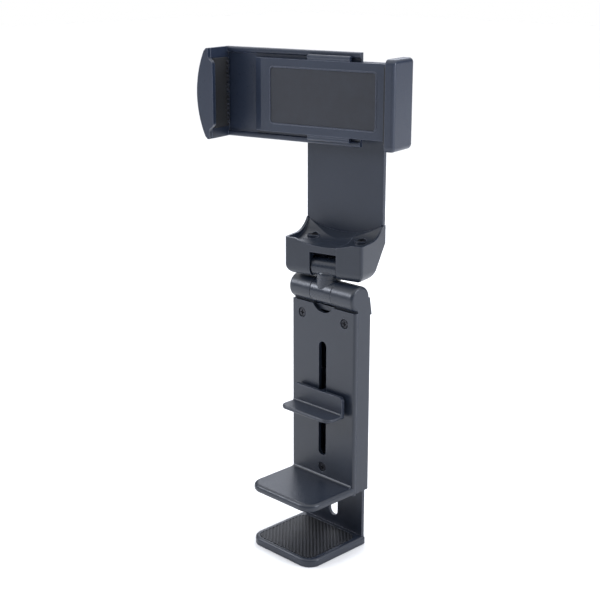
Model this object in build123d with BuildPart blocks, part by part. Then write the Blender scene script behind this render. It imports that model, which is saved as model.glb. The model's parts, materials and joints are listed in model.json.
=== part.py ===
"""Folding clamp-on holder: a desk clamp, a double-jointed neck and a sliding phone clip.

Millimetres. X is the width, -Y is the front (the jaws point that way), +Z is up.
The origin is on the underside of the lower jaw, below the middle of the column's front face.
"""
import os
from math import cos, radians, sin
from build123d import *

os.makedirs("parts", exist_ok=True)

# ---- column and clamp
COLUMN_W = 43.0           # width over the side walls
COLUMN_BACK = 11.9        # depth of the column behind its front face
COVER_T = 2.0             # front cover
COVER_TOP = 124.2
WALL_T = 1.3              # side walls of the rear shell
BACK_T = 1.45             # back wall of the rear shell
JAW_T = 4.3               # thickness of both jaws
JAW_GAP = 25.1            # open distance between the jaws at rest
JAW_REACH = 31.0          # how far the upper jaw stands out of the column
JAW_CORNER_R = 7.0
UPPER_JAW_Z = JAW_T + JAW_GAP
SLIDE_FRONT = 8.6         # front face of the sliding plate
SLIDE_T = 1.65
SLIDE_HALF_W = 20.0
SLOT_W = 5.2              # slot in the front cover
SLOT_LOW = 45.4
SLOT_HIGH = 105.9
PAD_T = 0.8

# ---- joints of the neck
HINGE_Y = 4.0             # lower hinge and swivel axis
LOWER_HINGE_Z = 130.8
LOWER_BARREL_R = 6.4
UPPER_HINGE_Z = 143.4
UPPER_BARREL_R = 4.7
UPPER_HINGE_Y = -0.8      # ahead of the swivel axis, in the head's own depth
KNUCKLE_HALF_W = 7.0
STEM_R = 6.0
SWIVEL_Z = 137.8          # seam between the two knuckles
PIN_R = 1.6
RUN_GAP = 0.05

# ---- head, turned on the swivel at rest
HEAD_YAW = 12.8           # degrees about +Z
TRAY_HALF_W = 21.9
TRAY_FRONT = -6.1
TRAY_RIM_Z = 156.8
TRAY_BOTTOM_Z = 138.3
PLATE_FRONT = 14.7
PLATE_T = 2.2
CLIP_Z = 223.9            # middle of the clip
PANEL_FRONT = 3.2
PANEL_HALF_H = 17.7
PANEL_LEFT = -46.0
JAW_INNER_X = 33.4        # inner face of the fixed jaw
JAW_OUTER_X = 38.4
SLIDER_RIGHT = 13.0
ARM_HALF_H = 22.1
ARM_FRONT = 6.7           # front face of the sliding arm's plate
ARM_T = 1.6
GRIP_FRONT = -10.3        # front of the moving jaw

HEAD_X = Vector(cos(radians(HEAD_YAW)), sin(radians(HEAD_YAW)), 0)
HEAD_Y = Vector(-sin(radians(HEAD_YAW)), cos(radians(HEAD_YAW)), 0)
UP = Vector(0, 0, 1)
NECK = Vector(0, HINGE_Y, 0)


def level(z):
    """Horizontal plane of the column at height z."""
    return Plane.XY.offset(z)


def facing_front(y):
    """Upright plane at depth y, seen from the front: local x is +X and local y is +Z."""
    return Plane(origin=(0, y, 0), x_dir=(1, 0, 0), z_dir=(0, -1, 0))


def facing_side(x):
    """Upright plane at width x: local x is +Y and local y is +Z."""
    return Plane(origin=(x, 0, 0), x_dir=(0, 1, 0), z_dir=(1, 0, 0))


def head_level(z):
    return Plane(origin=NECK + UP * z, x_dir=HEAD_X, z_dir=UP)


def head_front(y):
    return Plane(origin=NECK + HEAD_Y * y, x_dir=HEAD_X, z_dir=HEAD_Y * -1)


def head_side(x):
    return Plane(origin=NECK + HEAD_X * x, x_dir=HEAD_Y, z_dir=HEAD_X)


def save(piece, name):
    """Label a finished piece and write its STEP file."""
    piece.part.label = name
    export_step(piece.part, f"parts/{name}.step")


# ---------------------------------------------------------------- clamp
COVER_SCREW_AT = [(-14.4, 118.0), (14.4, 118.0), (0, 38.8)]
SCREW_R = 1.2
SCREW_HEAD_R = 2.25
GUIDE_RIB_X = 11.0

with BuildPart() as front_cover:
    # jaw first, with its rounded rim
    with BuildSketch(level(UPPER_JAW_Z)):
        with Locations((0, (COVER_T - JAW_REACH) / 2)):
            Rectangle(COLUMN_W, JAW_REACH + COVER_T)
    extrude(amount=JAW_T)
    fillet(front_cover.edges().filter_by(Axis.Z).group_by(Axis.Y)[0], JAW_CORNER_R)
    jaw_top_rim = front_cover.faces().sort_by(Axis.Z)[-1].edges()
    fillet(jaw_top_rim.filter_by(lambda e: e.center().Y < COVER_T - 0.1), 1.9)
    jaw_rim = front_cover.faces().sort_by(Axis.Z)[0].edges()
    fillet(jaw_rim.filter_by(lambda e: e.center().Y < COVER_T - 0.1), 1.9)
    # plate with its long front edges rounded
    with BuildSketch(level(UPPER_JAW_Z)) as cover_plan:
        with Locations((0, COVER_T / 2)):
            Rectangle(COLUMN_W, COVER_T)
        fillet(cover_plan.vertices().group_by(Axis.Y)[0], 1.3)
    extrude(amount=COVER_TOP - UPPER_JAW_Z)
    # cove where the jaw meets the plate
    with BuildSketch(facing_side(-20.2)):
        with BuildLine():
            Polyline((-1.7, UPPER_JAW_Z + JAW_T - 0.1), (0.5, UPPER_JAW_Z + JAW_T - 0.1),
                     (0.5, UPPER_JAW_Z + JAW_T + 1.7), (0, UPPER_JAW_Z + JAW_T + 1.7))
            ThreePointArc((0, UPPER_JAW_Z + JAW_T + 1.7), (-0.5, UPPER_JAW_Z + JAW_T + 0.5),
                          (-1.7, UPPER_JAW_Z + JAW_T))
            Line((-1.7, UPPER_JAW_Z + JAW_T), (-1.7, UPPER_JAW_Z + JAW_T - 0.1))
        make_face()
    extrude(amount=40.4)
    # slot for the ledge, notch for the neck, screw holes
    with BuildSketch(facing_front(0)):
        with Locations((0, (SLOT_LOW + SLOT_HIGH) / 2)):
            SlotOverall(SLOT_HIGH - SLOT_LOW, SLOT_W, rotation=90)
        with Locations((0, COVER_TOP + 4.4)):
            Circle(8.0)
        with Locations(COVER_SCREW_AT):
            Circle(SCREW_R + 0.2)
    extrude(amount=-COVER_T - 1, mode=Mode.SUBTRACT)
    with BuildSketch(facing_front(0)):
        with Locations(COVER_SCREW_AT):
            Circle(SCREW_HEAD_R + 0.3)
    extrude(amount=-1.0, mode=Mode.SUBTRACT)
    # ribs that keep the sliding plate at the back
    with BuildSketch(facing_front(COVER_T)):
        with Locations((-GUIDE_RIB_X, 75), (GUIDE_RIB_X, 75)):
            Rectangle(2.0, 74)
    extrude(amount=-(SLIDE_FRONT - COVER_T - 1.5))
    # bed for the rubber pad under the jaw
    with BuildSketch(level(UPPER_JAW_Z)):
        with Locations((0, -13.6)):
            RectangleRounded(36.0, 29.0, 4.0)
    extrude(amount=PAD_T, mode=Mode.SUBTRACT)
save(front_cover, "front_cover")

with BuildPart() as upper_jaw_pad:
    with BuildSketch(level(UPPER_JAW_Z + PAD_T)):
        with Locations((0, -13.6)):
            RectangleRounded(35.8, 28.8, 3.9)
    extrude(amount=-PAD_T - 0.4)
save(upper_jaw_pad, "upper_jaw_pad")

SHELL_FRONT = COVER_T + 0.15
SHELL_LOW = 30.3
BARREL_GAP_X = KNUCKLE_HALF_W + 0.2
BACK_TOP_Z = 124.0

with BuildPart() as rear_shell:
    # tray-shaped shell, open to the front
    with BuildSketch(level(SHELL_LOW)):
        with Locations((0, (SHELL_FRONT + COLUMN_BACK) / 2)):
            Rectangle(COLUMN_W, COLUMN_BACK - SHELL_FRONT)
    extrude(amount=BACK_TOP_Z - SHELL_LOW)
    fillet(rear_shell.edges().filter_by(Axis.Z).group_by(Axis.Y)[-1], 1.6)
    with BuildSketch(level(SHELL_LOW)):
        with Locations((0, (SHELL_FRONT + COLUMN_BACK - BACK_T) / 2)):
            Rectangle(COLUMN_W - 2 * WALL_T, COLUMN_BACK - BACK_T - SHELL_FRONT)
    extrude(amount=BACK_TOP_Z - SHELL_LOW - 2.4, mode=Mode.SUBTRACT)
    # the two outer knuckles, rounded at their ends, on shoulders that rise out of the shell
    for side, outer in ((-1, 0), (1, -1)):
        with BuildSketch(facing_front(HINGE_Y)) as knuckle_half:
            with Locations((side * (BARREL_GAP_X + COLUMN_W / 2) / 2, LOWER_HINGE_Z + LOWER_BARREL_R / 2)):
                Rectangle(COLUMN_W / 2 - BARREL_GAP_X, LOWER_BARREL_R)
            fillet(knuckle_half.vertices().group_by(Axis.Y)[-1].sort_by(Axis.X)[outer], 1.5)
        revolve(axis=Axis((0, HINGE_Y, LOWER_HINGE_Z), (1, 0, 0)))
        with BuildSketch(facing_side(side * BARREL_GAP_X)):
            with BuildLine():
                Polyline((SHELL_FRONT, BACK_TOP_Z - 2), (SHELL_FRONT, LOWER_HINGE_Z),
                         (HINGE_Y + LOWER_BARREL_R, LOWER_HINGE_Z), (COLUMN_BACK, BACK_TOP_Z - 2), close=True)
            make_face()
        extrude(amount=side * (COLUMN_W / 2 - BARREL_GAP_X))
    # screw posts
    with BuildSketch(facing_front(COVER_T + 0.1)):
        with Locations(COVER_SCREW_AT):
            Circle(2.4)
    extrude(amount=-(COLUMN_BACK - BACK_T - COVER_T))
    with BuildSketch(facing_front(COVER_T)):
        with Locations(COVER_SCREW_AT):
            Circle(SCREW_R + 0.02)
    extrude(amount=-7.0, mode=Mode.SUBTRACT)
    # seat of the hinge pin, open on the left, and of the friction washers
    with BuildSketch(facing_side(-COLUMN_W / 2)):
        with Locations((HINGE_Y, LOWER_HINGE_Z)):
            Circle(PIN_R + 0.02)
    extrude(amount=COLUMN_W - 2.0, mode=Mode.SUBTRACT)
    with BuildSketch(facing_side(-BARREL_GAP_X - 0.4)):
        with Locations((HINGE_Y, LOWER_HINGE_Z)):
            Circle(4.1)
    extrude(amount=2 * BARREL_GAP_X + 0.8, mode=Mode.SUBTRACT)
save(rear_shell, "rear_shell")

with BuildPart() as cover_screws:
    with BuildSketch(facing_front(0.9)):
        with Locations(COVER_SCREW_AT):
            Circle(SCREW_R)
    extrude(amount=-7.2)
    with BuildSketch(facing_front(0.95)):
        with Locations(COVER_SCREW_AT):
            Circle(SCREW_HEAD_R)
    extrude(amount=0.75)
    fillet(cover_screws.edges().group_by(Axis.Y)[0], 0.35)
    # cross recess
    with BuildSketch(facing_front(0.1)):
        with Locations(COVER_SCREW_AT):
            Rectangle(2.5, 0.5)
            Rectangle(0.5, 2.5)
    extrude(amount=-0.7, mode=Mode.SUBTRACT)
save(cover_screws, "cover_screws")

JAW_BACK = SLIDE_FRONT + SLIDE_T
PLATE_TOP = 88.0

with BuildPart() as lower_jaw:
    with BuildSketch(facing_side(-COLUMN_W / 2)):
        with BuildLine():
            Polyline((-JAW_REACH + 0.6, 0), (JAW_BACK, 0),
                     (JAW_BACK, JAW_T), (-JAW_REACH + 0.6, JAW_T), close=True)
        make_face()
    extrude(amount=COLUMN_W)
    fillet(lower_jaw.edges().filter_by(Axis.Z).group_by(Axis.Y)[0], JAW_CORNER_R)
    fillet(lower_jaw.edges().filter_by(Axis.Z).group_by(Axis.Y)[-1], 1.5)
    fillet(lower_jaw.faces().sort_by(Axis.Z)[-1].edges(), 1.4)
    fillet(lower_jaw.faces().sort_by(Axis.Z)[0].edges(), 0.7)
    with BuildSketch(facing_front(SLIDE_FRONT)):
        with Locations((0, PLATE_TOP / 2 + 1)):
            Rectangle(2 * SLIDE_HALF_W, PLATE_TOP - 2)
    extrude(amount=-SLIDE_T)
    with BuildSketch(facing_front(SLIDE_FRONT)):
        with Locations((0, 36.9)):
            SlotOverall(55.2, 6.0, rotation=90)
        with Locations((0, 73.5), (0, 78.5)):
            Circle(SCREW_R)
    extrude(amount=-SLIDE_T, mode=Mode.SUBTRACT)
    with BuildSketch(facing_front(JAW_BACK - 0.9)):
        with Locations((0, 73.5), (0, 78.5)):
            Circle(2.1)
    extrude(amount=-0.9, mode=Mode.SUBTRACT)
    with BuildSketch(level(JAW_T)):
        with Locations((0, -11.2)):
            RectangleRounded(38.0, 35.4, 5.2)
    extrude(amount=-PAD_T, mode=Mode.SUBTRACT)
save(lower_jaw, "lower_jaw")

RIB_PITCH = 1.7
RIB_W = 0.9

with BuildPart() as lower_jaw_pad:
    with BuildSketch(level(JAW_T - PAD_T)):
        with Locations((0, -11.2)):
            RectangleRounded(37.8, 35.2, 5.1)
    extrude(amount=0.5)
    with BuildSketch(level(JAW_T - PAD_T + 0.5)):
        with Locations((0, -11.2)):
            RectangleRounded(37.0, 34.4, 4.8)
        with Locations(Location((0, -11.2, 0), (0, 0, -45))):
            with GridLocations(0, RIB_PITCH, 1, 33):
                Rectangle(60, RIB_PITCH - RIB_W, mode=Mode.SUBTRACT)
    extrude(amount=0.55)
save(lower_jaw_pad, "lower_jaw_pad")

LEDGE_FRONT = -3.7
LEDGE_T = 1.8
LEDGE_LOW = 70.2
LEDGE_TOP = 81.3
LEDGE_HALF_W = 16.8

with BuildPart() as thumb_ledge:
    with BuildSketch(facing_front(LEDGE_FRONT)):
        with Locations((0, (LEDGE_LOW + LEDGE_TOP) / 2)):
            Rectangle(2 * LEDGE_HALF_W, LEDGE_TOP - LEDGE_LOW)
    extrude(amount=-LEDGE_T)
    fillet(thumb_ledge.edges().filter_by(Axis.Y).group_by(Axis.Z)[-1], 2.2)
    with BuildSketch(level(LEDGE_LOW)):
        with Locations((0, (LEDGE_FRONT - 13.8) / 2)):
            Rectangle(2 * LEDGE_HALF_W, 13.8 + LEDGE_FRONT)
    extrude(amount=2.0)
    fillet(thumb_ledge.edges().filter_by(Axis.Z).group_by(Axis.Y)[0], 4.0)
    shelf_rim = thumb_ledge.edges().filter_by(
        lambda e: e.center().Y < -4.2 and abs(e.tangent_at(0.5).Z) < 0.01)
    fillet(shelf_rim, 0.8)
    inner_root = thumb_ledge.edges().filter_by(Axis.X).filter_by(
        lambda e: abs(e.center().Y - LEDGE_FRONT) < 0.01 and abs(e.center().Z - LEDGE_LOW - 2.0) < 0.01)
    fillet(inner_root, 1.1)
    # stem through the cover's slot, down to the sliding plate
    with BuildSketch(facing_front(LEDGE_FRONT + LEDGE_T)):
        with Locations((0, 76.0)):
            SlotOverall(9.0, SLOT_W - 0.5, rotation=90)
    extrude(amount=-(SLIDE_FRONT - LEDGE_FRONT - LEDGE_T))
    with BuildSketch(facing_front(SLIDE_FRONT)):
        with Locations((0, 73.5), (0, 78.5)):
            Circle(SCREW_R)
    extrude(amount=6.0, mode=Mode.SUBTRACT)
save(thumb_ledge, "thumb_ledge")

with BuildPart() as ledge_screws:
    with BuildSketch(facing_front(JAW_BACK - 0.8)):
        with Locations((0, 73.5), (0, 78.5)):
            Circle(SCREW_R - 0.02)
    extrude(amount=6.0)
    with BuildSketch(facing_front(JAW_BACK - 0.05)):
        with Locations((0, 73.5), (0, 78.5)):
            Circle(2.0)
    extrude(amount=0.83)
save(ledge_screws, "ledge_screws")

SPRING_REST = 1.3

with BuildPart() as brake_springs:
    for side in (-1, 1):
        with BuildSketch(facing_side(side * GUIDE_RIB_X - 2)):
            with BuildLine():
                ThreePointArc((SLIDE_FRONT - 0.02, 68), (SLIDE_FRONT - SPRING_REST, 77),
                              (SLIDE_FRONT - 0.02, 86))
                Line((SLIDE_FRONT - 0.02, 86), (SLIDE_FRONT - 0.32, 86))
                ThreePointArc((SLIDE_FRONT - 0.32, 86), (SLIDE_FRONT - SPRING_REST - 0.15, 77),
                              (SLIDE_FRONT - 0.32, 68))
                Line((SLIDE_FRONT - 0.32, 68), (SLIDE_FRONT - 0.02, 68))
            make_face()
        extrude(amount=4.0)
save(brake_springs, "brake_springs")

# ---------------------------------------------------------------- neck
with BuildPart() as lower_hinge_pin:
    with BuildSketch(facing_side(-COLUMN_W / 2 + 0.2)):
        with Locations((HINGE_Y, LOWER_HINGE_Z)):
            Circle(PIN_R)
    extrude(amount=40.5)
    chamfer(lower_hinge_pin.edges(), 0.3)
save(lower_hinge_pin, "lower_hinge_pin")

with BuildPart() as lower_hinge_washers:
    for start in (-KNUCKLE_HALF_W - 0.55, KNUCKLE_HALF_W + 0.05):
        with BuildSketch(facing_side(start)):
            with Locations((HINGE_Y, LOWER_HINGE_Z)):
                Circle(4.0)
                Circle(PIN_R + 0.1, mode=Mode.SUBTRACT)
        extrude(amount=0.5)
save(lower_hinge_washers, "lower_hinge_washers")

SWIVEL_R = 1.5
SWIVEL_HEAD_Z = 132.9
SWIVEL_WASHER_Z = 134.5

with BuildPart() as lower_knuckle:
    with BuildSketch(facing_side(-KNUCKLE_HALF_W)):
        with Locations((HINGE_Y, LOWER_HINGE_Z)):
            Circle(LOWER_BARREL_R)
    extrude(amount=2 * KNUCKLE_HALF_W)
    fillet(lower_knuckle.edges().filter_by(GeomType.CIRCLE), 0.3)
    with BuildSketch(level(LOWER_HINGE_Z)):
        with Locations((0, HINGE_Y)):
            Circle(STEM_R)
    extrude(amount=SWIVEL_Z - 0.05 - LOWER_HINGE_Z)
    with BuildSketch(level(LOWER_HINGE_Z - LOWER_BARREL_R - 1)):
        with Locations((0, HINGE_Y)):
            Circle(3.2)
    extrude(amount=SWIVEL_WASHER_Z + 0.4 - LOWER_HINGE_Z + LOWER_BARREL_R + 1, mode=Mode.SUBTRACT)
    with BuildSketch(level(LOWER_HINGE_Z)):
        with Locations((0, HINGE_Y)):
            Circle(SWIVEL_R + RUN_GAP)
    extrude(amount=10, mode=Mode.SUBTRACT)
    with BuildSketch(facing_side(-KNUCKLE_HALF_W)):
        with Locations((HINGE_Y, LOWER_HINGE_Z)):
            Circle(PIN_R + RUN_GAP)
    extrude(amount=2 * KNUCKLE_HALF_W, mode=Mode.SUBTRACT)
save(lower_knuckle, "lower_knuckle")

with BuildPart() as swivel_washer:
    with BuildSketch(head_level(SWIVEL_WASHER_Z + 0.02)):
        Circle(3.0)
        Circle(SWIVEL_R + 0.1, mode=Mode.SUBTRACT)
    extrude(amount=0.33)
save(swivel_washer, "swivel_washer")

with BuildPart() as swivel_screw:
    with BuildSketch(head_level(SWIVEL_HEAD_Z)):
        Circle(3.0)
    extrude(amount=SWIVEL_WASHER_Z - SWIVEL_HEAD_Z)
    with BuildSketch(head_level(SWIVEL_WASHER_Z)):
        Circle(SWIVEL_R)
    extrude(amount=SWIVEL_Z - SWIVEL_WASHER_Z)
    with BuildSketch(head_level(SWIVEL_Z)):
        Circle(1.18)
    extrude(amount=3.2)
save(swivel_screw, "swivel_screw")

UPPER_PIN_R = 1.5

with BuildPart() as upper_knuckle:
    with BuildSketch(head_side(-KNUCKLE_HALF_W)):
        with Locations((UPPER_HINGE_Y, UPPER_HINGE_Z)):
            Circle(UPPER_BARREL_R)
    extrude(amount=2 * KNUCKLE_HALF_W)
    fillet(upper_knuckle.edges().filter_by(GeomType.CIRCLE), 0.3)
    with BuildPart(mode=Mode.PRIVATE) as stem:
        with BuildSketch(head_level(SWIVEL_Z + 0.05)):
            Circle(STEM_R)
        extrude(amount=4.2)
        fillet(stem.faces().sort_by(Axis.Z)[-1].edges(), 2.2)
    add(stem.part)
    with BuildSketch(head_side(-KNUCKLE_HALF_W)):
        with Locations((UPPER_HINGE_Y, UPPER_HINGE_Z)):
            Circle(UPPER_PIN_R + RUN_GAP)
    extrude(amount=2 * KNUCKLE_HALF_W, mode=Mode.SUBTRACT)
    with BuildSketch(head_level(SWIVEL_Z)):
        Circle(1.2)
    extrude(amount=3.4, mode=Mode.SUBTRACT)
save(upper_knuckle, "upper_knuckle")

with BuildPart() as upper_hinge_pin:
    with BuildSketch(head_side(-17.0)):
        with Locations((UPPER_HINGE_Y, UPPER_HINGE_Z)):
            Circle(UPPER_PIN_R)
    extrude(amount=34.0)
    chamfer(upper_hinge_pin.edges(), 0.3)
save(upper_hinge_pin, "upper_hinge_pin")

with BuildPart() as upper_hinge_washers:
    for start in (-KNUCKLE_HALF_W - 0.35, KNUCKLE_HALF_W + 0.05):
        with BuildSketch(head_side(start)):
            with Locations((UPPER_HINGE_Y, UPPER_HINGE_Z)):
                Circle(3.8)
                Circle(UPPER_PIN_R + 0.1, mode=Mode.SUBTRACT)
        extrude(amount=0.3)
save(upper_hinge_washers, "upper_hinge_washers")

# ---------------------------------------------------------------- head tray
POCKET_HALF_W = 7.4       # room for the upper knuckle
SWEEP_R = 8.7             # room for the stem as the head tilts
FLOOR_Z = 154.7
TRAY_BACK = PLATE_FRONT + PLATE_T
HEAD_SCREW_AT = [(-13.5, 7.9), (13.5, 7.9)]
FOOT_Z = 151.6
FOOT_T = 2.3
SIDE_WALL_T = 1.3
SCOOP_R = 51.8

with BuildPart() as tray:
    with BuildSketch(head_side(-TRAY_HALF_W)) as tray_side:
        with BuildLine():
            Polyline((3.0, TRAY_RIM_Z + 0.3), (TRAY_FRONT, TRAY_RIM_Z), (TRAY_FRONT, TRAY_BOTTOM_Z),
                     (4.6, TRAY_BOTTOM_Z), (TRAY_BACK, 154.6), (TRAY_BACK, 163.4), (14.7, 163.4))
            ThreePointArc((14.7, 163.4), (10.3, 159.0), (3.0, TRAY_RIM_Z + 0.3))
        make_face()
        lowest = tray_side.vertices().group_by(Axis.Y)[0]
        fillet(lowest, 4.6)
    extrude(amount=2 * TRAY_HALF_W)
    with BuildSketch(head_front(TRAY_FRONT - 1)) as tray_face:
        with Locations((0, TRAY_BOTTOM_Z + 20)):
            Rectangle(2 * TRAY_HALF_W, 40)
        fillet(tray_face.vertices().group_by(Axis.Y)[0], 5.0)
    extrude(amount=-30, mode=Mode.INTERSECT)
    upright = tray.edges().filter_by(Axis.Z).sort_by(Axis((0, 0, 0), HEAD_Y))[:2]
    fillet(upright, 1.6)
    # recessed floor that sweeps up to the plate
    with BuildSketch(head_side(-TRAY_HALF_W + SIDE_WALL_T)):
        with BuildLine():
            Polyline((2.0, FLOOR_Z), (TRAY_FRONT + 1.3, FLOOR_Z), (TRAY_FRONT + 1.3, 170), (PLATE_FRONT, 170),
                     (PLATE_FRONT, 162.6))
            ThreePointArc((PLATE_FRONT, 162.6), (9.9, 156.9), (2.0, FLOOR_Z))
        make_face()
    extrude(amount=2 * (TRAY_HALF_W - SIDE_WALL_T), mode=Mode.SUBTRACT)
    # bosses of the two screws
    with BuildSketch(head_level(FLOOR_Z - 1)):
        with Locations(HEAD_SCREW_AT):
            Circle(3.3)
    extrude(amount=2.7)
    # round scoop that dips the front rim and bends the foot line of the plate
    with Locations(Location(NECK + HEAD_Y * -5.0 + UP * (TRAY_RIM_Z + 49.2))):
        Sphere(SCOOP_R, mode=Mode.SUBTRACT)
    # slot for the arm plate and pockets for its two feet
    with BuildSketch(head_level(153.4)):
        with Locations((0, (PLATE_FRONT - 0.1 + TRAY_BACK + 1) / 2)):
            Rectangle(2 * (TRAY_HALF_W - SIDE_WALL_T), PLATE_T + 1.1)
    extrude(amount=15, mode=Mode.SUBTRACT)
    with BuildSketch(head_level(FOOT_Z - 0.1)):
        with Locations((-13.5, 10.5), (13.5, 10.5)):
            Rectangle(9.2, 14.4)
    extrude(amount=FOOT_T + 0.2, mode=Mode.SUBTRACT)
    # room for the knuckle, open to the front and below
    with BuildSketch(head_side(-POCKET_HALF_W)):
        with Locations((UPPER_HINGE_Y, UPPER_HINGE_Z)):
            Circle(SWEEP_R)
        with BuildLine():
            Polyline((TRAY_FRONT - 1, TRAY_BOTTOM_Z - 1), (8.0, TRAY_BOTTOM_Z - 1), (8.0, UPPER_HINGE_Z),
                     (UPPER_HINGE_Y, UPPER_HINGE_Z), (UPPER_HINGE_Y, 151.0),
                     (TRAY_FRONT - 1, 151.0), close=True)
        make_face()
    extrude(amount=2 * POCKET_HALF_W, mode=Mode.SUBTRACT)
    with BuildSketch(head_side(-17.1)):
        with Locations((UPPER_HINGE_Y, UPPER_HINGE_Z)):
            Circle(UPPER_PIN_R + 0.02)
    extrude(amount=34.2, mode=Mode.SUBTRACT)
    # screw holes
    with BuildSketch(head_level(146.0)):
        with Locations(HEAD_SCREW_AT):
            Circle(SCREW_R + 0.02)
    extrude(amount=14, mode=Mode.SUBTRACT)
    with BuildSketch(head_level(155.6)):
        with Locations(HEAD_SCREW_AT):
            Circle(SCREW_HEAD_R + 0.15)
    extrude(amount=5, mode=Mode.SUBTRACT)

SEAM_X = POCKET_HALF_W + 0.05
with BuildPart() as head_left_shell:
    add(tray.part)
    split(bisect_by=head_side(SEAM_X), keep=Keep.BOTTOM)
save(head_left_shell, "head_left_shell")

with BuildPart() as head_right_shell:
    add(tray.part)
    split(bisect_by=head_side(SEAM_X + 0.15), keep=Keep.TOP)
save(head_right_shell, "head_right_shell")

with BuildPart() as head_screws:
    with BuildSketch(head_level(147.0)):
        with Locations(HEAD_SCREW_AT):
            Circle(SCREW_R)
    extrude(amount=9.0)
    with BuildSketch(head_level(155.65)):
        with Locations(HEAD_SCREW_AT):
            Circle(SCREW_HEAD_R)
    extrude(amount=0.9)
    fillet(head_screws.edges().group_by(Axis.Z)[-1], 0.35)
    with BuildSketch(head_level(156.6)):
        with Locations(HEAD_SCREW_AT):
            Rectangle(2.5, 0.5)
            Rectangle(0.5, 2.5)
    extrude(amount=-0.6, mode=Mode.SUBTRACT)
save(head_screws, "head_screws")

# ---------------------------------------------------------------- arm and clip
PLATE_TOP_Z = 238.0
PIVOT_BOSS_R = 11.0
BASE_FRONT = 8.5
BASE_BACK = 10.9

with BuildPart() as arm_plate:
    with BuildSketch(head_front(PLATE_FRONT)) as arm_face:
        with Locations((0, (163.6 + PLATE_TOP_Z) / 2)):
            Rectangle(COLUMN_W, PLATE_TOP_Z - 163.6)
        fillet(arm_face.vertices().group_by(Axis.Y)[-1], 9.0)
        with Locations((0, (153.5 + 163.6) / 2)):
            Rectangle(2 * (TRAY_HALF_W - SIDE_WALL_T) - 0.2, 163.6 - 153.5)
    extrude(amount=-PLATE_T)
    with BuildSketch(head_front(PLATE_FRONT)):
        with Locations((0, CLIP_Z)):
            Circle(PIVOT_BOSS_R)
    extrude(amount=PLATE_FRONT - BASE_BACK - 0.1)
    with BuildSketch(head_level(FOOT_Z)):
        with Locations((-13.5, 9.6), (13.5, 9.6)):
            Rectangle(8.8, 12.2)
    extrude(amount=FOOT_T)
    # two low ribs down the back
    with BuildSketch(head_front(TRAY_BACK - 0.1)):
        with Locations((-12.0, 190.0), (12.0, 190.0)):
            SlotOverall(46.0, 2.0, rotation=90)
    extrude(amount=-0.9)
    with BuildSketch(head_level(FOOT_Z - 1)):
        with Locations(HEAD_SCREW_AT):
            Circle(SCREW_R + 0.1)
    extrude(amount=FOOT_T + 2, mode=Mode.SUBTRACT)
    with BuildSketch(head_front(0)):
        with Locations((0, CLIP_Z)):
            Circle(SWIVEL_R - 0.28)
    extrude(amount=-16.0, mode=Mode.SUBTRACT)
save(arm_plate, "arm_plate")

with BuildPart() as pivot_screw:
    with BuildSketch(head_front(BASE_FRONT + 0.1)):
        with Locations((0, CLIP_Z)):
            Circle(3.6)
    extrude(amount=-1.1)
    with BuildSketch(head_front(BASE_FRONT + 1.2)):
        with Locations((0, CLIP_Z)):
            Circle(SWIVEL_R)
    extrude(amount=-(BASE_BACK + 0.05 - BASE_FRONT - 1.2))
    with BuildSketch(head_front(BASE_BACK)):
        with Locations((0, CLIP_Z)):
            Circle(SWIVEL_R - 0.3)
    extrude(amount=-5.0)
save(pivot_screw, "pivot_screw")

with BuildPart() as pivot_washer:
    with BuildSketch(head_front(BASE_FRONT + 1.22)):
        with Locations((0, CLIP_Z)):
            Circle(3.6)
            Circle(SWIVEL_R + 0.1, mode=Mode.SUBTRACT)
    extrude(amount=-0.3)
save(pivot_washer, "pivot_washer")

POST_AT = [(-13.0, CLIP_Z - 11), (-13.0, CLIP_Z + 11), (26.0, CLIP_Z - 11), (26.0, CLIP_Z + 11)]
CLIP_HALF_H = 20.9        # fixed jaw
JAW_OUTLINE_R = 2.4
JAW_RIM_R = 1.9

with BuildPart() as clip_base:
    with BuildSketch(head_front(BASE_FRONT)):
        with Locations(((PANEL_LEFT + 1 + JAW_INNER_X + 1) / 2, CLIP_Z)):
            Rectangle(JAW_INNER_X - PANEL_LEFT, 2 * PANEL_HALF_H)
    extrude(amount=-(BASE_BACK - BASE_FRONT))
    fillet(clip_base.edges().filter_by(Axis((0, 0, 0), HEAD_Y)).sort_by(Axis((0, 0, 0), HEAD_X))[:2], 4.0)
    with BuildPart(mode=Mode.PRIVATE) as jaw_block:
        with BuildSketch(head_level(CLIP_Z - CLIP_HALF_H)):
            with BuildLine():
                Polyline((JAW_INNER_X, -8.3), (JAW_OUTER_X, -8.3), (JAW_OUTER_X, BASE_BACK),
                         (JAW_INNER_X, BASE_BACK), close=True)
            make_face()
        extrude(amount=2 * CLIP_HALF_H)
        # corners of the outline, then the rim of the outer face and a slighter one on the inner face
        fillet(jaw_block.edges().filter_by(Axis((0, 0, 0), HEAD_X)), JAW_OUTLINE_R)
        fillet(jaw_block.faces().sort_by(Axis((0, 0, 0), HEAD_X))[-1].edges(), JAW_RIM_R)
        fillet(jaw_block.faces().sort_by(Axis((0, 0, 0), HEAD_X))[0].edges(), 0.6)
    add(jaw_block.part)
    # bed of the pivot screw, holes for the panel screws and bed of the brake spring
    with BuildSketch(head_front(BASE_FRONT)):
        with Locations((0, CLIP_Z)):
            Circle(3.8)
        with Locations((-31.0, CLIP_Z)):
            Rectangle(19.0, 5.0)
    extrude(amount=-1.55, mode=Mode.SUBTRACT)
    with BuildSketch(head_front(BASE_FRONT)):
        with Locations((0, CLIP_Z)):
            Circle(SWIVEL_R + RUN_GAP)
        with Locations(POST_AT):
            Circle(SCREW_R + 0.1)
    extrude(amount=-4, mode=Mode.SUBTRACT)
    with BuildSketch(head_front(BASE_BACK)):
        with Locations(POST_AT):
            Circle(SCREW_HEAD_R + 0.15)
    extrude(amount=1.1, mode=Mode.SUBTRACT)
save(clip_base, "clip_base")

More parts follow.
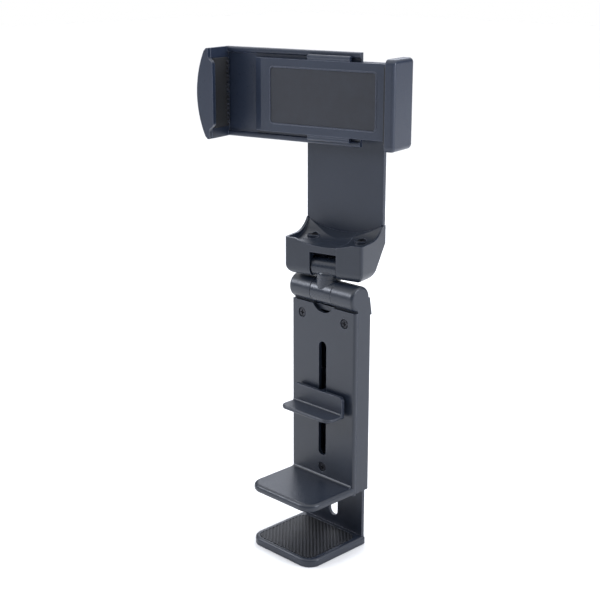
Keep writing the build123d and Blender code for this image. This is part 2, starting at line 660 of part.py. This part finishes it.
PAD_LEFT = -35.65
PAD_RIGHT = 22.6
PAD_HALF_H = 13.35
PAD_MID_X = (PAD_LEFT + PAD_RIGHT) / 2

with BuildPart() as clip_panel:
    with BuildSketch(head_level(CLIP_Z - PANEL_HALF_H)):
        with BuildLine():
            Polyline((PANEL_LEFT, PANEL_FRONT + 3.0), (PANEL_LEFT + 0.6, PANEL_FRONT + 1.6),
                     (PANEL_LEFT + 4.5, PANEL_FRONT + 0.2), (PANEL_LEFT + 7.5, PANEL_FRONT),
                     (JAW_INNER_X - 0.15, PANEL_FRONT), (JAW_INNER_X - 0.15, PANEL_FRONT + 3.1),
                     (PANEL_LEFT, PANEL_FRONT + 3.1), close=True)
        make_face()
    extrude(amount=2 * PANEL_HALF_H)
    for end in (-1, 1):
        # guide bar that hooks over the sliding arm's flange
        bar_z = CLIP_Z + end * 19.2
        with BuildSketch(head_side(-14.5)):
            with Locations((4.2, bar_z)):
                Circle(1.2)
            with Locations((4.0, CLIP_Z + end * 18.2)):
                Rectangle(1.4, 2.2)
        extrude(amount=23.0)
    # raised border and bed of the rest pad
    with BuildSketch(head_front(PANEL_FRONT + 0.2)):
        with Locations((PAD_MID_X, CLIP_Z)):
            RectangleRounded(PAD_RIGHT - PAD_LEFT + 1.2, 2 * PAD_HALF_H + 1.2, 1.9)
    extrude(amount=0.4)
    with BuildSketch(head_front(0)):
        with Locations((PAD_MID_X, CLIP_Z)):
            RectangleRounded(PAD_RIGHT - PAD_LEFT, 2 * PAD_HALF_H, 1.4)
    extrude(amount=-(PANEL_FRONT + 0.5), mode=Mode.SUBTRACT)
    with BuildSketch(head_front(PANEL_FRONT + 3.0)):
        with Locations(POST_AT):
            Circle(2.0)
    extrude(amount=-(BASE_FRONT - PANEL_FRONT - 3.05))
    with BuildSketch(head_front(BASE_FRONT)):
        with Locations(POST_AT):
            Circle(SCREW_R - 0.02)
    extrude(amount=3.6, mode=Mode.SUBTRACT)
save(clip_panel, "clip_panel")

with BuildPart() as rest_pad:
    with BuildSketch(head_front(PANEL_FRONT + 0.5)):
        with Locations((PAD_MID_X, CLIP_Z)):
            RectangleRounded(PAD_RIGHT - PAD_LEFT - 0.2, 2 * PAD_HALF_H - 0.2, 1.3)
    extrude(amount=0.45)
save(rest_pad, "rest_pad")

with BuildPart() as clip_screws:
    with BuildSketch(head_front(BASE_BACK - 1.05)):
        with Locations(POST_AT):
            Circle(SCREW_R - 0.04)
    extrude(amount=4.6)
    with BuildSketch(head_front(BASE_BACK - 0.15)):
        with Locations(POST_AT):
            Circle(SCREW_HEAD_R)
    extrude(amount=0.93)
    with BuildSketch(head_front(BASE_BACK - 0.1)):
        with Locations(POST_AT):
            Rectangle(2.5, 0.5)
            Rectangle(0.5, 2.5)
    extrude(amount=0.5, mode=Mode.SUBTRACT)
save(clip_screws, "clip_screws")

with BuildPart() as fixed_jaw_pad:
    with BuildSketch(head_side(JAW_INNER_X - 0.9)):
        with Locations((-2.4, CLIP_Z)):
            RectangleRounded(9.8, 36.0, 1.5)
    extrude(amount=0.9)
save(fixed_jaw_pad, "fixed_jaw_pad")

with BuildPart() as brake_leaf:
    with BuildSketch(head_level(CLIP_Z - 2)):
        with BuildLine():
            ThreePointArc((-40.0, 9.95), (-31.0, 8.7), (-22.0, 9.95))
            Line((-22.0, 9.95), (-22.0, 9.65))
            ThreePointArc((-22.0, 9.65), (-31.0, 8.4), (-40.0, 9.65))
            Line((-40.0, 9.65), (-40.0, 9.95))
        make_face()
    extrude(amount=4.0)
save(brake_leaf, "brake_leaf")

GRIP_INNER_X = -63.0
GRIP_END_X = -65.6
GRIP_BOW_X = -70.2
LIP_X = -60.6
LIP_T = 2.3

with BuildPart() as sliding_jaw:
    # flat arm with a flange along both edges
    with BuildSketch(head_side(GRIP_INNER_X - 1)):
        with Locations((ARM_FRONT + ARM_T / 2, CLIP_Z)):
            Rectangle(ARM_T, 2 * ARM_HALF_H)
        with Locations((6.95, CLIP_Z - 20.75), (6.95, CLIP_Z + 20.75)):
            RectangleRounded(2.7, 2.7, 0.9)
    extrude(amount=SLIDER_RIGHT - GRIP_INNER_X + 1)
    with BuildSketch(head_front(ARM_FRONT - 1)):
        with Locations((10.0, CLIP_Z - 11), (10.0, CLIP_Z + 11)):
            SlotOverall(84.0, 4.6)
    extrude(amount=-4, mode=Mode.SUBTRACT)
    # upright wall of the grip, bowed outwards
    with BuildSketch(head_front(GRIP_FRONT + LIP_T - 0.01)):
        with BuildLine():
            Polyline((GRIP_END_X, CLIP_Z - 20.8), (GRIP_END_X + 1.3, CLIP_Z - ARM_HALF_H),
                     (GRIP_INNER_X, CLIP_Z - ARM_HALF_H), (GRIP_INNER_X, CLIP_Z + ARM_HALF_H),
                     (GRIP_END_X + 1.3, CLIP_Z + ARM_HALF_H), (GRIP_END_X, CLIP_Z + 20.8))
            ThreePointArc((GRIP_END_X, CLIP_Z + 20.8), (GRIP_BOW_X, CLIP_Z), (GRIP_END_X, CLIP_Z - 20.8))
        make_face()
    extrude(amount=-(ARM_FRONT + ARM_T - GRIP_FRONT - LIP_T))
    # front lip, wider in its middle
    with BuildSketch(head_front(GRIP_FRONT)):
        with BuildLine():
            ThreePointArc((GRIP_END_X, CLIP_Z + 20.8), (GRIP_BOW_X, CLIP_Z), (GRIP_END_X, CLIP_Z - 20.8))
            Polyline((GRIP_END_X, CLIP_Z - 20.8), (GRIP_END_X + 1.3, CLIP_Z - ARM_HALF_H),
                     (GRIP_INNER_X - 0.2, CLIP_Z - ARM_HALF_H), (GRIP_INNER_X - 0.2, CLIP_Z - 18.5))
            Spline((GRIP_INNER_X - 0.2, CLIP_Z - 18.5), (LIP_X, CLIP_Z - 14.0), tangents=((0, 1), (0, 1)))
            Line((LIP_X, CLIP_Z - 14.0), (LIP_X, CLIP_Z + 14.0))
            Spline((LIP_X, CLIP_Z + 14.0), (GRIP_INNER_X - 0.2, CLIP_Z + 18.5), tangents=((0, 1), (0, 1)))
            Polyline((GRIP_INNER_X - 0.2, CLIP_Z + 18.5), (GRIP_INNER_X - 0.2, CLIP_Z + ARM_HALF_H),
                     (GRIP_END_X + 1.3, CLIP_Z + ARM_HALF_H), (GRIP_END_X, CLIP_Z + 20.8))
        make_face()
    extrude(amount=-LIP_T)
save(sliding_jaw, "sliding_jaw")

with BuildPart() as sliding_jaw_pad:
    with BuildSketch(head_side(GRIP_INNER_X)):
        with Locations((-1.2, CLIP_Z)):
            RectangleRounded(13.0, 34.0, 1.5)
        with Locations((4.6, CLIP_Z)):
            with GridLocations(0, 4.1, 1, 7):
                Rectangle(2.0, 1.5, mode=Mode.SUBTRACT)
    extrude(amount=0.9)
save(sliding_jaw_pad, "sliding_jaw_pad")
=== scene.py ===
import json
from math import pi, radians
import bpy
from mathutils import Matrix, Vector


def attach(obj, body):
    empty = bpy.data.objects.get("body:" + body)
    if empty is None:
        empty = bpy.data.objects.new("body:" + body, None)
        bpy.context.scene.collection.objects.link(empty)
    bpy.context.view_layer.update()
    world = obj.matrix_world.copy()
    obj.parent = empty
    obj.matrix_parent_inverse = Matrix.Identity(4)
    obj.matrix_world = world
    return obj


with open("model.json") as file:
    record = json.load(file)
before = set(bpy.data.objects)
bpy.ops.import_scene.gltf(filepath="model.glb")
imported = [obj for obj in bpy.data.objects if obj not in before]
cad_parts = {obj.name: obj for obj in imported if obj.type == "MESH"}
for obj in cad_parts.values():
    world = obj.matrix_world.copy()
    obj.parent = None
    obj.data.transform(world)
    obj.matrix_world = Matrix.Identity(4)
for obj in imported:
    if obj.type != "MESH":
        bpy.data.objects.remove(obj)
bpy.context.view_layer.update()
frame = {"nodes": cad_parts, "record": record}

MM = 0.001

# ---- Studio
# A white table in a white room, with a broad lamp at the right, the left and the back. Most of the
# room's light comes from above, so upright faces stay dark and rounded edges catch a bright line.
CAMERA_AT = (0.39845, -0.41062, 0.29109)
CAMERA_DOWN = 15.99
CAMERA_ROUND = 45.26
LENS_MM = 73.02
ROOM_WHITE = "ffffff"
COOL_WHITE = "edf2ff"      # the lamps are a little cool
TABLE_WHITE = "f4f5f7"
WALL_LIGHT = 0.04         # the walls give little light and the ceiling most of it
CEILING_LIGHT = 1.65


def linear(code):
    """An sRGB hex colour as the linear red, green, blue and alpha that shaders read."""
    parts = [int(code[i:i + 2], 16) / 255 for i in (0, 2, 4)]
    return [c / 12.92 if c <= 0.04045 else ((c + 0.055) / 1.055) ** 2.4 for c in parts] + [1.0]


def add(tree, kind, sockets=None, **settings):
    """Adds a node. Settings are its properties; sockets gives inputs a value or another node's output."""
    node = tree.nodes.new(kind)
    for key, value in settings.items():
        setattr(node, key, value)
    for socket, source in (sockets or {}).items():
        if isinstance(source, bpy.types.NodeSocket):
            tree.links.new(source, node.inputs[socket])
        else:
            node.inputs[socket].default_value = source
    return node


def new_material(name):
    """An empty node material and its tree."""
    material = bpy.data.materials.new(name)
    material.use_nodes = True
    material.node_tree.nodes.clear()
    return material, material.node_tree


def lamp(name, place, target, size, watts):
    """A broad square lamp that points at the target."""
    data = bpy.data.lights.new(name, "AREA")
    data.shape = "SQUARE"
    data.size = size
    data.energy = watts
    data.color = linear(COOL_WHITE)[:3]
    light = bpy.data.objects.new(name, data)
    light.location = place
    light.rotation_euler = (Vector(target) - Vector(place)).to_track_quat("-Z", "Y").to_euler()
    bpy.context.collection.objects.link(light)


camera = bpy.data.objects.new("studio_camera", bpy.data.cameras.new("studio_camera"))
camera.data.lens = LENS_MM
camera.data.sensor_width = 36.0
camera.data.clip_start = 0.01
camera.location = CAMERA_AT
camera.rotation_euler = (radians(90 - CAMERA_DOWN), 0, radians(CAMERA_ROUND))
bpy.context.collection.objects.link(camera)
bpy.context.scene.camera = camera
bpy.context.scene.view_settings.view_transform = "Standard"

MIDDLE = (0, 0, 0.12)
lamp("lamp_right", (0.80, 0.30, 0.40), MIDDLE, 0.30, 4.4)
lamp("lamp_left", (-0.62, -0.60, 0.50), MIDDLE, 0.28, 3.4)
lamp("lamp_back", (-0.55, 0.70, 0.75), MIDDLE, 0.60, 3.5)

world = bpy.data.worlds.new("white_room")
bpy.context.scene.world = world
world.use_nodes = True
room = world.node_tree
room.nodes.clear()
ray = add(room, "ShaderNodeLightPath")
seen = add(room, "ShaderNodeBackground", {"Color": linear(ROOM_WHITE), "Strength": 1.0})
way = add(room, "ShaderNodeSeparateXYZ", {"Vector": add(room, "ShaderNodeTexCoord").outputs["Generated"]})
height = add(room, "ShaderNodeMapRange", {"Value": way.outputs["Z"], "From Min": 0.15, "From Max": 0.9,
                                          "To Min": WALL_LIGHT, "To Max": CEILING_LIGHT},
             interpolation_type="SMOOTHSTEP")
fill = add(room, "ShaderNodeBackground", {"Color": linear(ROOM_WHITE), "Strength": height.outputs[0]})
choice = add(room, "ShaderNodeMixShader", {0: ray.outputs["Is Camera Ray"], 1: fill.outputs[0],
                                           2: seen.outputs[0]})
add(room, "ShaderNodeOutputWorld", {"Surface": choice.outputs[0]})

TABLE_HALF = 4.0
table_mesh = bpy.data.meshes.new("table_top")
table_mesh.from_pydata([(-TABLE_HALF, -TABLE_HALF, 0), (TABLE_HALF, -TABLE_HALF, 0),
                        (TABLE_HALF, TABLE_HALF, 0), (-TABLE_HALF, TABLE_HALF, 0)], [], [(0, 1, 2, 3)])
table = bpy.data.objects.new("table_top", table_mesh)
bpy.context.collection.objects.link(table)
table_white, tree = new_material("matt_white_laminate")
shade = add(tree, "ShaderNodeBsdfPrincipled", {"Base Color": linear(TABLE_WHITE), "Roughness": 0.75})
add(tree, "ShaderNodeOutputMaterial", {"Surface": shade.outputs[0]})
table_mesh.materials.append(table_white)

# ---- Base: lower jaw, sliding plate and thumb ledge
# One ABS moulding, charcoal with a blue cast, from a spark-eroded tool: a fine even grain that breaks up
# the shine, and corners drawn rounded and painted paler, a painted highlight along the rims with a little
# wear from rubbing.
EDGE_MM = 0.35            # rounding that a tool's corners leave
ABS_IOR = 1.53
GRAIN_MM = 0.55           # the real grain is nearer 0.1 mm, drawn coarser so that it shows
CLOUD_MM = 22.0           # size of the faint lighter and darker patches
RIM_HIGHLIGHT_AND_WEAR_MOST = 0.8           # how far a sharp corner goes to the paler corner colour, a painted highlight with a little wear
GLOSS_SPREAD = 0.07       # how far the grain moves the roughness either way


def moulded_abs(name, deep, pale, rim_highlight_and_wear, roughness, grain_depth_mm=0.012):
    """Moulded ABS: a clouded charcoal, spark-eroded grain, and paler corners that are painted highlight
    with a little wear.
    """
    material, tree = new_material(name)
    place = add(tree, "ShaderNodeTexCoord").outputs["Object"]
    grain = add(tree, "ShaderNodeTexNoise", {"Vector": place, "Scale": 1 / (GRAIN_MM * MM),
                                             "Detail": 3.0})
    cloud = add(tree, "ShaderNodeTexNoise", {"Vector": place, "Scale": 1 / (CLOUD_MM * MM),
                                             "Detail": 2.0})
    edge = add(tree, "ShaderNodeBevel", {"Radius": EDGE_MM * MM}, samples=4)
    flat = add(tree, "ShaderNodeNewGeometry")
    turn = add(tree, "ShaderNodeVectorMath", {0: edge.outputs[0], 1: flat.outputs["Normal"]},
               operation="DOT_PRODUCT")
    # Paler colour at sharp corners: a painted highlight along the rims, with a little wear from rubbing.
    rim_highlight_and_wear_mask = add(tree, "ShaderNodeMapRange", {"Value": turn.outputs["Value"], "From Min": 0.995,
                                            "From Max": 0.82, "To Min": 0.0, "To Max": RIM_HIGHLIGHT_AND_WEAR_MOST})
    body = add(tree, "ShaderNodeMix", {0: cloud.outputs["Fac"], 6: linear(deep), 7: linear(pale)},
               data_type="RGBA")
    colour = add(tree, "ShaderNodeMix", {0: rim_highlight_and_wear_mask.outputs[0], 6: body.outputs[2], 7: linear(rim_highlight_and_wear)},
                 data_type="RGBA")
    sheen = add(tree, "ShaderNodeMapRange", {"Value": grain.outputs["Fac"], "From Min": 0.3,
                                             "From Max": 0.7, "To Min": roughness - GLOSS_SPREAD,
                                             "To Max": roughness + GLOSS_SPREAD})
    relief = add(tree, "ShaderNodeBump", {"Height": grain.outputs["Fac"], "Normal": edge.outputs[0],
                                          "Distance": grain_depth_mm * MM, "Strength": 1.0})
    shade = add(tree, "ShaderNodeBsdfPrincipled", {"Base Color": colour.outputs[2],
                                                   "Roughness": sheen.outputs[0], "IOR": ABS_IOR,
                                                   "Normal": relief.outputs[0]})
    add(tree, "ShaderNodeOutputMaterial", {"Surface": shade.outputs[0]})
    return material


def dress(material, *nodes):
    """Gives the material to every slot of these CAD pieces."""
    for node in nodes:
        piece = frame["nodes"][node]
        if not piece.material_slots:
            piece.data.materials.append(None)
        for slot in piece.material_slots:
            slot.link = "OBJECT"
            slot.material = material


dress(moulded_abs("eroded_charcoal_abs_base", "171e2a", "1d2534", "626979", 0.38),
      "lower_jaw", "thumb_ledge")

# ---- Column: front cover and rear shell
# The same ABS on a larger face, a touch glossier and with fainter clouding, so the broad front reads as one
# even dark sheet between two bright corner lines.
dress(moulded_abs("eroded_charcoal_abs_column", "171e2a", "1c2431", "626979", 0.36),
      "front_cover", "rear_shell")

# ---- Neck: two turned-looking knuckles
# Each knuckle is a separate moulding that has run against its neighbour, so its barrel is
# satin, smoother than the shells.
dress(moulded_abs("satin_charcoal_abs_knuckle", "19202c", "1e2633", "5c6373", 0.30, 0.006),
      "lower_knuckle", "upper_knuckle")

# ---- Head: the tray's two shells and the arm plate
# Two mouldings meet on a vertical seam; the arm plate that stands in them is from its own tool
# and a touch lighter.
dress(moulded_abs("eroded_charcoal_abs_head", "181f2b", "1e2633", "666d7d", 0.36),
      "head_left_shell", "head_right_shell")
dress(moulded_abs("eroded_charcoal_abs_arm", "1e2634", "242c3b", "666d7d", 0.38), "arm_plate")

# ---- Clip: base, raised-border panel and sliding jaw
# The widest visible faces. The panel is the same ABS as the column, painted paler as painted light so it
# reads brighter, and the sliding jaw, also painted paler, gets the palest corner colour, a painted
# highlight on its lip.
dress(moulded_abs("eroded_charcoal_abs_clip", "222a3a", "283142", "757c8e", 0.36),
      "clip_base", "clip_panel")
dress(moulded_abs("eroded_charcoal_abs_jaw", "1d2636", "252e40", "7e8699", 0.34), "sliding_jaw")

# ---- Grip pads
# Moulded synthetic rubber, near black and matt, with a fine bloom that lifts the colour in
# patches, which is what keeps it from looking like the plastic beside it.
RUBBER_IOR = 1.52
BLOOM_MM = 6.0
RUBBER_GRAIN_MM = 0.6
RUBBER_GRAIN_DEPTH_MM = 0.02
RUBBER_EDGE_MM = 0.2


def moulded_rubber(name, deep, bloom, roughness):
    """Matt moulded rubber with a powdery bloom and a soft grain."""
    material, tree = new_material(name)
    place = add(tree, "ShaderNodeTexCoord").outputs["Object"]
    patches = add(tree, "ShaderNodeTexNoise", {"Vector": place, "Scale": 1 / (BLOOM_MM * MM),
                                               "Detail": 4.0})
    grain = add(tree, "ShaderNodeTexNoise", {"Vector": place, "Scale": 1 / (RUBBER_GRAIN_MM * MM),
                                             "Detail": 2.0})
    edge = add(tree, "ShaderNodeBevel", {"Radius": RUBBER_EDGE_MM * MM}, samples=4)
    dust = add(tree, "ShaderNodeMapRange", {"Value": patches.outputs["Fac"], "From Min": 0.35,
                                            "From Max": 0.75})
    colour = add(tree, "ShaderNodeMix", {0: dust.outputs[0], 6: linear(deep), 7: linear(bloom)},
                 data_type="RGBA")
    relief = add(tree, "ShaderNodeBump", {"Height": grain.outputs["Fac"], "Normal": edge.outputs[0],
                                          "Distance": RUBBER_GRAIN_DEPTH_MM * MM, "Strength": 1.0})
    shade = add(tree, "ShaderNodeBsdfPrincipled", {"Base Color": colour.outputs[2], "Roughness": roughness,
                                                   "IOR": RUBBER_IOR, "Sheen Weight": 0.08,
                                                   "Normal": relief.outputs[0]})
    add(tree, "ShaderNodeOutputMaterial", {"Surface": shade.outputs[0]})
    return material


dress(moulded_rubber("ribbed_black_rubber", "12161e", "1b202a", 0.58), "lower_jaw_pad", "upper_jaw_pad")
dress(moulded_rubber("smooth_black_rubber", "171b25", "1c212c", 0.55), "rest_pad")
dress(moulded_rubber("jaw_black_rubber", "0a0c11", "11141b", 0.66), "fixed_jaw_pad", "sliding_jaw_pad")

# ---- Teeth of the sliding jaw
# A row of short blunt teeth moulded where the jaw's rubber meets the arm, which stop a
# phone's edge creeping. Only their tips catch the light in the dark corner.
TOOTH_COUNT = 14
TOOTH_PITCH = 2.3 * MM
TOOTH_R = 0.75 * MM
TOOTH_LENGTH = 1.8 * MM
TOOTH_SINK = 0.1 * MM

joints = {joint["name"]: joint for joint in frame["record"]["behaviour"]["joints"]}
head_x = Vector(joints["clip_slide"]["axis"])
head_y = Vector(joints["clip_rotate"]["axis"])
head_at = Vector(joints["neck_swivel"]["pos_m"]) * Vector((1, 1, 0))
head_turn = Matrix((head_x, head_y, Vector((0, 0, 1)))).transposed().to_4x4()
head_place = Matrix.Translation(head_at) @ head_turn

pad_points = [head_place.inverted() @ v.co for v in frame["nodes"]["sliding_jaw_pad"].data.vertices]
pad_low = Vector([min(p[i] for p in pad_points) for i in range(3)])
pad_high = Vector([max(p[i] for p in pad_points) for i in range(3)])
pad_mid = (pad_low + pad_high) / 2

teeth_tree = bpy.data.node_groups.new("row_of_teeth", "GeometryNodeTree")
sizes = (("Count", "NodeSocketInt", TOOTH_COUNT), ("Pitch", "NodeSocketFloat", TOOTH_PITCH),
         ("Radius", "NodeSocketFloat", TOOTH_R), ("Length", "NodeSocketFloat", TOOTH_LENGTH),
         ("Rubber", "NodeSocketMaterial", None))
teeth_ids = {}
for label, kind, _ in sizes:
    teeth_ids[label] = teeth_tree.interface.new_socket(label, in_out="INPUT", socket_type=kind).identifier
teeth_tree.interface.new_socket("Geometry", in_out="OUTPUT", socket_type="NodeSocketGeometry")
given = add(teeth_tree, "NodeGroupInput")
step = add(teeth_tree, "ShaderNodeCombineXYZ", {"Z": given.outputs["Pitch"]})
row = add(teeth_tree, "GeometryNodeMeshLine", {"Count": given.outputs["Count"], "Offset": step.outputs[0]})
wedge = add(teeth_tree, "GeometryNodeMeshCylinder", {"Vertices": 6, "Radius": given.outputs["Radius"],
                                                     "Depth": given.outputs["Length"]})
spread = add(teeth_tree, "GeometryNodeInstanceOnPoints", {"Points": row.outputs[0],
                                                          "Instance": wedge.outputs[0],
                                                          "Rotation": (pi / 2, 0, 0)})
real = add(teeth_tree, "GeometryNodeRealizeInstances", {"Geometry": spread.outputs[0]})
rubbered = add(teeth_tree, "GeometryNodeSetMaterial", {"Geometry": real.outputs[0],
                                                       "Material": given.outputs["Rubber"]})
add(teeth_tree, "NodeGroupOutput", {"Geometry": rubbered.outputs[0]})

tooth_rubber = moulded_rubber("tooth_black_rubber", "1a1e28", "2a303c", 0.36)
seed = bpy.data.objects.new("teeth_row_maker", bpy.data.meshes.new("teeth_row_maker"))
bpy.context.collection.objects.link(seed)
maker = seed.modifiers.new("teeth", "NODES")
maker.node_group = teeth_tree
for label, _, value in sizes:
    maker[teeth_ids[label]] = tooth_rubber if label == "Rubber" else value
bpy.context.view_layer.update()
teeth_mesh = bpy.data.meshes.new_from_object(seed.evaluated_get(bpy.context.evaluated_depsgraph_get()))
seed.modifiers.remove(maker)
bpy.data.objects.remove(seed)
first_tooth = Vector((pad_high.x - TOOTH_SINK, pad_high.y - TOOTH_LENGTH / 2,
                      pad_mid.z - TOOTH_PITCH * (TOOTH_COUNT - 1) / 2))
teeth_mesh.transform(head_place @ Matrix.Translation(first_tooth))
teeth = bpy.data.objects.new("sliding_jaw_teeth", teeth_mesh)
bpy.context.collection.objects.link(teeth)
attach(teeth, "grip")

# ---- Screws
# Cross-head steel screws with a black oxide finish: dark in the recess, with small glints where
# the driver has bared the rim.


def steel(name, deep, bare, roughness, streak_mm, along):
    """Steel whose finishing marks run one way; along gives how far each axis is stretched."""
    material, tree = new_material(name)
    place = add(tree, "ShaderNodeTexCoord").outputs["Object"]
    lay = add(tree, "ShaderNodeMapping", {"Vector": place, "Scale": along})
    marks = add(tree, "ShaderNodeTexNoise", {"Vector": lay.outputs[0], "Scale": 1 / (streak_mm * MM),
                                             "Detail": 4.0})
    tone = add(tree, "ShaderNodeMapRange", {"Value": marks.outputs["Fac"], "From Min": 0.35,
                                            "From Max": 0.7})
    colour = add(tree, "ShaderNodeMix", {0: tone.outputs[0], 6: linear(deep), 7: linear(bare)},
                 data_type="RGBA")
    polish = add(tree, "ShaderNodeMapRange", {"Value": marks.outputs["Fac"], "To Min": roughness + 0.12,
                                              "To Max": roughness - 0.08})
    shade = add(tree, "ShaderNodeBsdfPrincipled", {"Base Color": colour.outputs[2], "Metallic": 1.0,
                                                   "Roughness": polish.outputs[0]})
    add(tree, "ShaderNodeOutputMaterial", {"Surface": shade.outputs[0]})
    return material


dress(steel("black_oxide_steel", "1d1e22", "4a4b50", 0.36, 0.5, (1, 1, 1)),
      "cover_screws", "ledge_screws", "head_screws", "clip_screws", "pivot_screw", "swivel_screw")

# ---- Pins, washers and springs
# Centreless-ground pins have marks round the pin, so they are close together along X; rolled
# spring strip is brighter, with marks along the strip.
dress(steel("ground_steel", "8f9196", "c3c5c9", 0.28, 0.5, (6, 1, 1)), "lower_hinge_pin", "upper_hinge_pin")
dress(steel("rolled_spring_steel", "85878c", "b4b6ba", 0.32, 0.5, (1, 1, 5)),
      "lower_hinge_washers", "upper_hinge_washers", "swivel_washer", "pivot_washer",
      "brake_springs", "brake_leaf")
